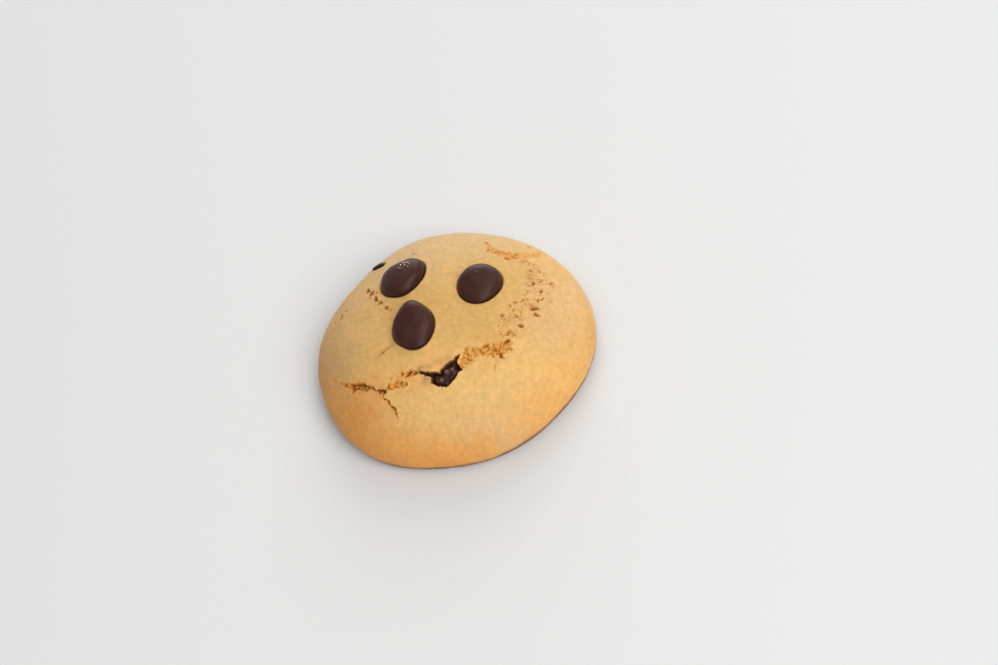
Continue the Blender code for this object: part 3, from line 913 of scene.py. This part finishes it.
def make_mottling():
    """Uneven tone: soft noise of a given fineness, spread between two values."""
    numbers = ("Fineness", "Detail", "Raggedness", "Spread", "Low", "High")
    group, given, result = new_group("mottling", numbers, "Tone", "NodeSocketFloat")
    reach = group.nodes.new("ShaderNodeMapRange")
    join = group.links.new
    join(add_noise(group, given), reach.inputs["Value"])
    for operation, limit in (("SUBTRACT", "From Min"), ("ADD", "From Max")):
        shifted = group.nodes.new("ShaderNodeMath")
        shifted.operation = operation
        shifted.inputs[0].default_value = MIDDLE_OF_NOISE
        join(given.outputs["Spread"], shifted.inputs[1])
        join(shifted.outputs[0], reach.inputs[limit])
    join(given.outputs["Low"], reach.inputs["To Min"])
    join(given.outputs["High"], reach.inputs["To Max"])
    join(reach.outputs["Result"], result.inputs["Tone"])
    return group


def make_fine_grain():
    """The finest unevenness of a surface, too small to model, as a tilt of its normal."""
    numbers = ("Fineness", "Detail", "Raggedness", "Strength", "Depth")
    group, given, result = new_group("fine_grain", numbers, "Normal", "NodeSocketVector")
    bump = group.nodes.new("ShaderNodeBump")
    join = group.links.new
    join(given.outputs["Strength"], bump.inputs["Strength"])
    join(given.outputs["Depth"], bump.inputs["Distance"])
    join(add_noise(group, given), bump.inputs["Height"])
    join(bump.outputs["Normal"], result.inputs["Normal"])
    return group


MOTTLING = make_mottling()
FINE_GRAIN = make_fine_grain()


def place_group(tree, group, *values):
    """Puts a node group in a material with its own values; gives its output."""
    node = tree.nodes.new("ShaderNodeGroup")
    node.node_tree = group
    for socket, value in zip(node.inputs, values):
        socket.default_value = value
    return node.outputs[0]


def finish_surface(tree, shader, colour, roughness, grain, gloss):
    """Gives a shader its colour, mottled roughness, fine grain, and gloss as (IOR, specular level)."""
    tree.links.new(colour, shader.inputs["Base Color"])
    tree.links.new(place_group(tree, MOTTLING, *roughness), shader.inputs["Roughness"])
    tree.links.new(place_group(tree, FINE_GRAIN, *grain), shader.inputs["Normal"])
    shader.inputs["IOR"].default_value, shader.inputs["Specular IOR Level"].default_value = gloss


CRUST_GOLD = (0.72, 0.42, 0.125, 1.0)
CRUST_GOLD_TOO = (0.77, 0.45, 0.145, 1.0)
# The colour of each shade, from the lowest layer to the top one.
CRUST_LAYERS = (
    # Painted light: the front of the crust is painted lighter.
    ("light", (0.86, 0.52, 0.18, 1.0)),
    # Painted sheen: the back, which faces away, is painted paler.
    ("pale", (0.71, 0.49, 0.24, 1.0)),
    # Partly a duller crust, partly painted shade on the left, away from the lamps.
    ("dull", (0.54, 0.35, 0.15, 1.0)),
    ("bake", (0.84, 0.37, 0.085, 1.0)),
    ("warm", (0.78, 0.34, 0.080, 1.0)),
    # Partly a creamier crust, partly painted sheen on the back.
    ("cream_and_sheen", (0.77, 0.47, 0.205, 1.0)),
    ("torn", (0.80, 0.36, 0.065, 1.0)),
    # Painted shade in the splits, pits, wrinkles, creases and the opening.
    ("deep", (0.32, 0.09, 0.004, 1.0)),
    # Chocolate smears, and painted shade in the pits of the left split.
    ("smear_and_shade", (0.32, 0.14, 0.09, 1.0)),
    # Melt on the crust, and painted shadow round the drops.
    ("melt_and_shadow", (0.075, 0.020, 0.008, 1.0)),
    # The browned foot, partly painted contact shadow.
    ("foot", (0.24, 0.090, 0.036, 1.0)),
)
# Mottling in rows of (fineness, detail, raggedness, spread, low, high).
CRUST_BLOTCHES = (110.0, 3.0, 0.55, 0.15, 0.0, 1.0)
CRUST_CLOUDS = (330.0, 2.0, 0.5, 0.2, 0.97, 1.03)
CRUST_SPECKLE = (800.0, 5.0, 0.7, 0.2, 0.89, 1.13)
CRUST_DRYNESS = (800.0, 5.0, 0.7, 0.2, 0.62, 0.82)
# Grain as (fineness, detail, raggedness, strength, depth).
CRUST_GRAIN = (1700.0, 4.0, 0.75, 0.8, 0.00028)
DOUGH_GLOSS = (1.40, 0.30)
DOUGH_SHEEN = 0.04
DOUGH_SHEEN_ROUGHNESS = 0.5


def dough_material():
    material, tree, shader = new_material("baked_dough")
    link = tree.links.new
    colour = link_mix(tree, place_group(tree, MOTTLING, *CRUST_BLOTCHES), CRUST_GOLD, CRUST_GOLD_TOO)
    for shade, layer_colour in CRUST_LAYERS:
        colour = link_mix(tree, read_attribute(tree, shade), colour, layer_colour)
    mottled = tree.nodes.new("ShaderNodeMath")
    mottled.operation = "MULTIPLY"
    link(place_group(tree, MOTTLING, *CRUST_CLOUDS), mottled.inputs[0])
    link(place_group(tree, MOTTLING, *CRUST_SPECKLE), mottled.inputs[1])
    toned = tree.nodes.new("ShaderNodeVectorMath")
    toned.operation = "SCALE"
    link(colour, toned.inputs[0])
    link(mottled.outputs[0], toned.inputs["Scale"])
    finish_surface(tree, shader, toned.outputs[0], CRUST_DRYNESS, CRUST_GRAIN, DOUGH_GLOSS)
    shader.inputs["Sheen Weight"].default_value = DOUGH_SHEEN
    shader.inputs["Sheen Roughness"].default_value = DOUGH_SHEEN_ROUGHNESS
    return material


dough_look = make_dough()
dough_look.data.materials.append(dough_material())
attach(dough_look, "root")
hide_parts("dough")

# ----------------------------------------------------------
# The crumbs: bits of the same dough, none over a millimetre across, that broke off the torn edges and
# stuck in the splits and on the crumbled strips. They count as part of the dough.
# ----------------------------------------------------------
CRUMB_SEED = 11
# How many crumbs lie along each strip or split, and the largest radius there.
CRUMB_ROWS = (
    (CRUMBLED["front_right"], 26, 0.38),
    (CRUMBLED["front_low"], 8, 0.32),
    (CRUMBLED["front_high"], 6, 0.32),
    (CRUMBLED["back_right"], 8, 0.26),
    (SPLITS["front_left"], 14, 0.28),
    (SPLITS["branch"], 4, 0.20),
    (ROUGHENED, 22, 0.24),
)
CRUMB_SCATTER = 0.95
CRUMB_LEAST = 0.45
CRUMB_SIZE_POWER = 1.5
# A bit's form: (bulge, its fineness, noise steps per millimetre in x and y, breadth, thickness, lift).
CRUMB_FORM = (0.45, 1.3, 7.0, 3.0, 0.8, 0.62, 0.25)
BIT_SPIN = 6.28
BIT_TILT = 1.2


def surface_of(look):
    corners = [vertex.co for vertex in look.data.vertices]
    return BVHTree.FromPolygons(corners, [face.vertices for face in look.data.polygons])


def drop_down(surface, x, y):
    """The spot on a surface straight below a place over the cookie, and the surface's normal there."""
    middle = rim_middle()
    above = Vector(((x - middle[0]) * MM, (y - middle[1]) * MM, 2.0 * HEIGHT * MM))
    spot, normal, _, _ = surface.ray_cast(above, Vector((0.0, 0.0, -1.0)))
    return spot, normal


def random_turn(draw):
    spin = Matrix.Rotation(draw.uniform(0.0, BIT_SPIN), 3, "Z")
    return spin @ Matrix.Rotation(draw.uniform(0.0, BIT_TILT), 3, "X")


def add_bit(bm, surface, x, y, radius, turn, form):
    """Lays one lumpy bit on a surface."""
    bulging, fineness, steps_x, steps_y, breadth, thickness, lift = form
    spot, normal = drop_down(surface, x, y)
    for vertex in bmesh.ops.create_icosphere(bm, subdivisions=2, radius=1.0)["verts"]:
        place = vertex.co.copy()
        bulge = 1.0 + bulging * noise.noise(place * fineness + Vector((steps_x * x, steps_y * y, 0.0)))
        place = Vector((place.x, breadth * place.y, thickness * place.z)) * (radius * bulge)
        vertex.co = spot + normal * (lift * radius * MM) + (turn @ place) * MM


def finish_bits(bm, name):
    mesh = bpy.data.meshes.new(name)
    bm.to_mesh(mesh)
    bm.free()
    mesh.shade_smooth()
    return stand(name, mesh)


def make_crumbs():
    draw = random.Random(CRUMB_SEED)
    ground = surface_of(dough_look)
    bm = bmesh.new()
    for stops, count, largest in CRUMB_ROWS:
        for _ in range(count):
            step = step_along(draw, stops)
            x, y = place_beside(stops, step, draw.uniform(-CRUMB_SCATTER, CRUMB_SCATTER))
            radius = largest * draw.uniform(CRUMB_LEAST, 1.0) ** CRUMB_SIZE_POWER
            add_bit(bm, ground, x, y, radius, random_turn(draw), CRUMB_FORM)
    return finish_bits(bm, "crumbs_look")


CRUMB_PALE = (0.82, 0.49, 0.17, 1.0)
CRUMB_GOLD = (0.74, 0.38, 0.10, 1.0)
CRUMB_PATCHES = (420.0, 2.0, 0.5, 0.1, 0.0, 1.0)
CRUMB_DRYNESS = (420.0, 2.0, 0.5, 0.2, 0.66, 0.84)
CRUMB_GRAIN = (2400.0, 3.0, 0.6, 0.6, 0.0002)


def crumb_material():
    material, tree, shader = new_material("loose_crumbs")
    colour = link_mix(tree, place_group(tree, MOTTLING, *CRUMB_PATCHES), CRUMB_GOLD, CRUMB_PALE)
    finish_surface(tree, shader, colour, CRUMB_DRYNESS, CRUMB_GRAIN, DOUGH_GLOSS)
    return material


crumbs_look = make_crumbs()
crumbs_look.data.materials.append(crumb_material())
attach(crumbs_look, "root")
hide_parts("dough")

# ----------------------------------------------------------
# The drops on the crust: dark baking chocolate, pressed in before baking. Each slumped to a low
# satin button with a rounded edge and what is left of its tip, and sits in a seat in the dough.
# ----------------------------------------------------------
DROP_SINK = 1.4
DROP_POWER = 4.0
DROP_SEGMENTS = 112
DROP_RINGS = 44
# The rings below the crust: (share of the radius, share of the sink).
DROP_SOLE = ((0.90, 1.0), (0.975, 0.6), (1.0, 0.25))
# A low fold runs round each drop near its edge, where the melt stopped: its height in millimetres, its
# place and width as shares of the radius.
FOLD_HEIGHT = 0.07
FOLD_PLACE = 0.84
FOLD_WIDTH = 0.05
# What is left of the tip: a blunt rise, and on it a low nub in a shallow ring, whose widths and place are
# shares of the radius.
TIP_POWER = 2
TIP_BLUNTING = 0.5
BLUNTING_POWER = 8
NUB_HEIGHT = 0.11
NUB_WIDTH = 0.075
NUB_RING_DEPTH = 0.055
NUB_RING_PLACE = 0.165
DROP_WAVINESS = ((0.09, 4.0, 21), (0.03, 1.5, 22))


def drop_rings(tip_rise, top):
    """The rings of a drop from its sole up: (share of the radius, height, nearness to the tip)."""
    rings = [(share, -sunk * DROP_SINK, 0.0) for share, sunk in DROP_SOLE]
    for i in range(DROP_RINGS):
        share = math.cos(0.5 * math.pi * i / DROP_RINGS)
        tip = 1.0 - share
        height = math.sqrt(1.0 - share**DROP_POWER) * top
        height += tip_rise * tip**TIP_POWER * (1.0 - TIP_BLUNTING * tip**BLUNTING_POWER)
        height += NUB_HEIGHT * bell(share, 0.0, NUB_WIDTH)
        height -= NUB_RING_DEPTH * bell(share, NUB_RING_PLACE, NUB_WIDTH)
        rings.append((share, height, tip))
    return rings


def ring_faces(count):
    """The faces of a stack of rings, closed by a middle point below and one above."""
    faces = []
    bottom = count * DROP_SEGMENTS
    last = (count - 1) * DROP_SEGMENTS
    for low in range(0, last, DROP_SEGMENTS):
        high = low + DROP_SEGMENTS
        for i in range(DROP_SEGMENTS):
            j = (i + 1) % DROP_SEGMENTS
            faces.append((low + i, low + j, high + j, high + i))
    for i in range(DROP_SEGMENTS):
        j = (i + 1) % DROP_SEGMENTS
        faces.append((j, i, bottom))
        faces.append((last + i, last + j, bottom + 1))
    return faces


def make_drop(name, row):
    centre, along, across, up = drop_frame(row)
    _, _, long_radius, short_radius, _, _, _, tip_ahead, tip_rise, top, taper = row
    angle = 2.0 * np.pi * np.arange(DROP_SEGMENTS) / DROP_SEGMENTS
    stray = waves_round(angle, DROP_WAVES[name], 0.0)
    rings = drop_rings(tip_rise, top)
    points = []
    for share, height, tip in rings:
        reach = share * (1.0 + share * stray)
        forward = long_radius * reach * np.cos(angle) + tip_ahead * tip
        sideways = short_radius * reach * np.sin(angle) * (1.0 - taper * np.cos(angle))
        raised = height + FOLD_HEIGHT * bell(share, FOLD_PLACE, FOLD_WIDTH)
        points.append(centre + np.outer(forward, along) + np.outer(sideways, across) + up * raised)
    sole_point = centre - up * DROP_SINK
    tip_point = centre + along * tip_ahead + up * (top + (1.0 - TIP_BLUNTING) * tip_rise + NUB_HEIGHT)
    points = np.concatenate(points + [[sole_point], [tip_point]])
    points += up * sum_of_noise(points, DROP_WAVINESS)[:, None]
    return stand(name + "_look", cookie_mesh(name + "_look", points, ring_faces(len(rings))))


CHOCOLATE = (0.047, 0.0130, 0.0088, 1.0)
CHOCOLATE_LIGHT = (0.060, 0.0185, 0.0130, 1.0)
SATIN = 0.40
# The far drop, out near the foot, is painted almost black: painted shade for its side that is turned
# from the light. It is duller too.
FAR_DROP_SHADE = (0.012, 0.0035, 0.0015, 1.0)
FAR_DROP_SHADE_LIGHT = (0.020, 0.0070, 0.0035, 1.0)
FAR_DROP_SHADE_DULLNESS = 0.60
CHOCOLATE_BLOOM = (260.0, 2.0, 0.5, 0.15, 0.0, 1.0)
CHOCOLATE_CLOUDS = (260.0, 2.0, 0.5, 0.2)
DULL_SPREAD = 0.05
CHOCOLATE_GRAIN = (1600.0, 2.0, 0.5, 0.10, 0.0001)
CHOCOLATE_GLOSS = (1.46, 0.25)


def chocolate_material(name, dark, light, dull, dust_highlight_colour=None):
    """Chocolate between two browns; dull is its mean roughness, dust_highlight_colour the colour where
    crumb clings, also painted highlight.
    """
    material, tree, shader = new_material(name)
    colour = link_mix(tree, place_group(tree, MOTTLING, *CHOCOLATE_BLOOM), dark, light)
    if dust_highlight_colour is not None:
        colour = link_mix(tree, read_attribute(tree, "dust_and_highlight"), colour, dust_highlight_colour)
    roughness = (*CHOCOLATE_CLOUDS, dull - DULL_SPREAD, dull + DULL_SPREAD)
    finish_surface(tree, shader, colour, roughness, CHOCOLATE_GRAIN, CHOCOLATE_GLOSS)
    return material


chocolate = chocolate_material("dark_chocolate", CHOCOLATE, CHOCOLATE_LIGHT, SATIN)
far_drop_painted_shade = chocolate_material("far_drop_painted_shade_chocolate", FAR_DROP_SHADE, FAR_DROP_SHADE_LIGHT, FAR_DROP_SHADE_DULLNESS)
for drop_name, drop_row in DROPS.items():
    drop_look = make_drop(drop_name, drop_row)
    drop_look.data.materials.append(far_drop_painted_shade if drop_name == "drop_far" else chocolate)
    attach(drop_look, "root")
    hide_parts(drop_name)

# ----------------------------------------------------------
# The specks: a few pale bits of crust, finer than sugar, that fell on the left drop while it was soft
# and stayed stuck to its top. Their pale colour is also painted highlight, standing for glints there.
# ----------------------------------------------------------
SPECK_SEED = 3
# Where they lie: (x, y, radius).
SPECKS = (
    (-2.4, 18.3, 0.24), (-1.6, 18.6, 0.28), (-1.1, 18.3, 0.2), (-0.7, 17.9, 0.28), (-2.9, 17.6, 0.16),
    (-1.6, 17.5, 0.2), (-0.5, 17.2, 0.17), (-1.0, 16.6, 0.17), (-3.3, 18.0, 0.14),
)
SPECK_FORM = (0.4, 1.4, 9.0, 4.0, 0.75, 0.6, 0.2)


def make_specks():
    draw = random.Random(SPECK_SEED)
    top = surface_of(bpy.data.objects["drop_left_look"])
    bm = bmesh.new()
    for x, y, radius in SPECKS:
        add_bit(bm, top, x, y, radius, random_turn(draw), SPECK_FORM)
    return finish_bits(bm, "specks_look")


# Partly pale crust, partly painted glints on the drop's top.
SPECK_CREAM = (0.72, 0.62, 0.48, 1.0)
SPECK_TAN = (0.50, 0.36, 0.22, 1.0)
SPECK_PATCHES = (900.0, 2.0, 0.5, 0.1, 0.0, 1.0)
SPECK_GRAIN = (2400.0, 3.0, 0.6, 0.5, 0.0001)
SPECK_ROUGHNESS = 0.7


def speck_material():
    material, tree, shader = new_material("specks_and_painted_glints")
    patches = place_group(tree, MOTTLING, *SPECK_PATCHES)
    tree.links.new(link_mix(tree, patches, SPECK_TAN, SPECK_CREAM), shader.inputs["Base Color"])
    tree.links.new(place_group(tree, FINE_GRAIN, *SPECK_GRAIN), shader.inputs["Normal"])
    shader.inputs["Roughness"].default_value = SPECK_ROUGHNESS
    return material


specks_look = make_specks()
specks_look.data.materials.append(speck_material())
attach(specks_look, "root")
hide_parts("drop_left")

# ----------------------------------------------------------
# The drop in the split: it lies under the crust and shows where the front split gapes over it. Its
# top melted and set again in ridges, a little below the torn edges of the crust.
# ----------------------------------------------------------
# Its top lies this far below the crust, and slumps further towards the opening's edges.
BURIED_TOP = 0.40
BURIED_SLUMP = 1.2
BURIED_SLUMP_EDGE = (-0.4, 0.9)
BURIED_RIDGES = ((0.30, 2.2, 31), (0.16, 0.9, 32))
BURIED_THICKNESS = 1.6
BURIED_SPACING = 0.16
BURIED_GRID_RADIUS = 9.0
BURIED_MARGIN = 0.5
# Its points and its faces reach this far under the crust.
POINTS_UNDER = 0.35
FACES_UNDER = 0.40
# Where the melt set in lumps, which crumb dusted; their lighter colour is also painted highlight:
# (x, y, radius, height).
BURIED_LUMPS = (
    (-4.1, -13.1, 0.75, 0.6), (-2.7, -13.2, 0.5, 0.35), (-5.9, -14.3, 0.55, 0.15),
)
DUST_HIGHLIGHT_EDGE = (0.4, 0.9)
DUST_HIGHLIGHT_WAVES = ((0.3, 0.5, 33),)


def buried_surface():
    """The top of the melt: its points, its faces and how dusty each point is; the lumps' dust is also
    painted highlight.
    """
    corners = np.array(OPENING)
    low = corners.min(axis=0) - BURIED_MARGIN
    high = corners.max(axis=0) + BURIED_MARGIN
    grid = hexagon_grid(BURIED_SPACING, BURIED_GRID_RADIUS) + (low + high) / 2
    flat, faces = join_up(grid[inside_outline(grid[:, 0], grid[:, 1], OPENING) > -POINTS_UNDER])
    centres = flat[faces].mean(axis=1)
    faces = faces[inside_outline(centres[:, 0], centres[:, 1], OPENING) > -FACES_UNDER]
    x, y = flat.T
    points = np.stack([x, y, dome_height(x, y)], axis=1)
    inner = inside_outline(x, y, OPENING)
    below = BURIED_TOP - sum_of_noise(points, BURIED_RIDGES)
    below += BURIED_SLUMP * fade_out(inner, *BURIED_SLUMP_EDGE)
    for lump_x, lump_y, radius, height in BURIED_LUMPS:
        below -= height * bell(np.hypot(x - lump_x, y - lump_y) / radius, 0.0, 1.0)
    points = points - dome_normal(*corners.mean(axis=0)) * below[:, None]
    ragged_edge = sum_of_noise(points, DUST_HIGHLIGHT_WAVES)
    dust_and_highlight = np.zeros(len(points))
    for lump_x, lump_y, radius, _ in BURIED_LUMPS:
        away = np.hypot(x - lump_x, y - lump_y) / radius
        dust_and_highlight = np.maximum(dust_and_highlight, fade_out(away + ragged_edge, *DUST_HIGHLIGHT_EDGE))
    return points, faces, dust_and_highlight


def make_buried_drop():
    points, faces, dust_and_highlight = buried_surface()
    mesh = cookie_mesh("drop_in_split_look", points, faces.tolist())
    mesh.attributes.new("dust_and_highlight", "FLOAT", "POINT").data.foreach_set("value", dust_and_highlight.astype(np.float32))
    down = Vector(dome_normal(*np.mean(OPENING, axis=0)) * -BURIED_THICKNESS * MM)
    bm = bmesh.new()
    bm.from_mesh(mesh)
    rim = [edge for edge in bm.edges if edge.is_boundary]
    side = bmesh.ops.extrude_edge_only(bm, edges=rim)
    lowered = [item for item in side["geom"] if isinstance(item, bmesh.types.BMVert)]
    bmesh.ops.translate(bm, vec=down, verts=lowered)
    bmesh.ops.holes_fill(bm, edges=[edge for edge in bm.edges if edge.is_boundary])
    bmesh.ops.recalc_face_normals(bm, faces=bm.faces)
    bm.to_mesh(mesh)
    bm.free()
    mesh.shade_smooth()
    return stand("drop_in_split_look", mesh)


# Where it melted and set again it is darker than the drops above.
MOLTEN = (0.030, 0.0065, 0.0040, 1.0)
MOLTEN_LIGHT = (0.050, 0.0140, 0.0090, 1.0)
# The lumps' lighter colour: crumb dust, and painted highlight.
DUST_AND_HIGHLIGHT = (0.17, 0.078, 0.055, 1.0)

buried_look = make_buried_drop()
molten = chocolate_material("molten_in_split", MOLTEN, MOLTEN_LIGHT, SATIN, DUST_AND_HIGHLIGHT)
buried_look.data.materials.append(molten)
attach(buried_look, "root")
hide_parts("drop_in_split")

# ----------------------------------------------------------
# The table, the light and the camera: a plain pale floor, an even pale room and two big soft lamps, one
# on the right in front and a lower one behind. Three more soft sheets are seen only in the gloss.
# ----------------------------------------------------------
FLOOR_SIZE = 6.0
FLOOR_COLOUR = (0.80, 0.80, 0.80, 1.0)
FLOOR_ROUGHNESS = 0.8


def make_floor():
    half = FLOOR_SIZE / 2
    corners = [(-half, -half, 0.0), (half, -half, 0.0), (half, half, 0.0), (-half, half, 0.0)]
    mesh = bpy.data.meshes.new("floor")
    mesh.from_pydata(corners, [], [(0, 1, 2, 3)])
    material, _, shader = new_material("pale_floor")
    shader.inputs["Base Color"].default_value = FLOOR_COLOUR
    shader.inputs["Roughness"].default_value = FLOOR_ROUGHNESS
    mesh.materials.append(material)
    return stand("floor", mesh)


floor = make_floor()

# (name, side in degrees from the right, height in degrees, power, how tall the sheet is)
LAMPS = (
    ("front_lamp", -60.0, 46.0, 12.6, 1.0),
    ("back_lamp", 60.0, 23.0, 10.0, 1.0),
)
# The sheets that only the gloss shows: one high to the right, one low in front, a low strip behind.
GLOSS_LAMPS = (
    ("gloss_lamp", -30.0, 60.0, 9.5, 1.0),
    ("low_gloss_lamp", -80.0, 22.0, 7.0, 1.0),
    ("rim_lamp", 68.0, 12.0, 6.5, 0.24),
)
LAMP_DISTANCE = 1.4
LAMP_WIDTH = 1.0
ROOM_COLOUR = (1.0, 1.0, 1.0, 1.0)
ROOM_BRIGHTNESS = 0.42


def make_lamp(name, side, lift, power, tall):
    lamp = bpy.data.lights.new(name, "AREA")
    lamp.shape = "RECTANGLE"
    lamp.size = LAMP_WIDTH
    lamp.size_y = tall
    lamp.energy = power
    side = math.radians(side)
    lift = math.radians(lift)
    direction = Vector((math.cos(side) * math.cos(lift), math.sin(side) * math.cos(lift), math.sin(lift)))
    holder = stand(name, lamp)
    holder.location = direction * LAMP_DISTANCE
    holder.rotation_euler = direction.to_track_quat("Z", "Y").to_euler()
    return holder


def make_light():
    for row in LAMPS:
        make_lamp(*row).visible_glossy = False
    for row in GLOSS_LAMPS:
        make_lamp(*row).visible_diffuse = False
    world = bpy.data.worlds.new("pale_room")
    bpy.context.scene.world = world
    world.use_nodes = True
    room = world.node_tree.nodes["Background"]
    room.inputs["Color"].default_value = ROOM_COLOUR
    room.inputs["Strength"].default_value = ROOM_BRIGHTNESS


make_light()

# The camera stands in front, high up and rolled to one side. Angles are in degrees, lengths in metres.
VIEW_ELEVATION = 55.0
VIEW_ROLL = 27.0
VIEW_DISTANCE = 0.5483
LOOK_AT_HEIGHT = 0.00776
# The cookie stands a little left of the picture's middle: the aim passes it by this slope.
LOOK_PAST_RIGHT = 0.02086
LOOK_PAST_UP = 0.00258
LENS = 85.0
SENSOR_WIDTH = 36.0
NEAREST = 0.01


def make_camera():
    lift = math.radians(VIEW_ELEVATION)
    roll = math.radians(VIEW_ROLL)
    back = Vector((0.0, -math.cos(lift), math.sin(lift)))
    level_right = Vector((1.0, 0.0, 0.0))
    level_up = back.cross(level_right)
    right = math.cos(roll) * level_right - math.sin(roll) * level_up
    up = math.sin(roll) * level_right + math.cos(roll) * level_up
    ahead = (LOOK_PAST_RIGHT * right + LOOK_PAST_UP * up - back).normalized()
    right = (right - right.dot(ahead) * ahead).normalized()
    up = right.cross(ahead)
    camera = bpy.data.cameras.new("camera")
    camera.lens = LENS
    camera.sensor_width = SENSOR_WIDTH
    camera.clip_start = NEAREST
    holder = stand("camera", camera)
    place = Vector((0.0, 0.0, LOOK_AT_HEIGHT)) + back * VIEW_DISTANCE
    turn = Matrix((right, up, -ahead)).transposed()
    holder.matrix_world = Matrix.Translation(place) @ turn.to_4x4()
    bpy.context.scene.camera = holder


make_camera()
bpy.context.scene.view_settings.view_transform = "Standard"
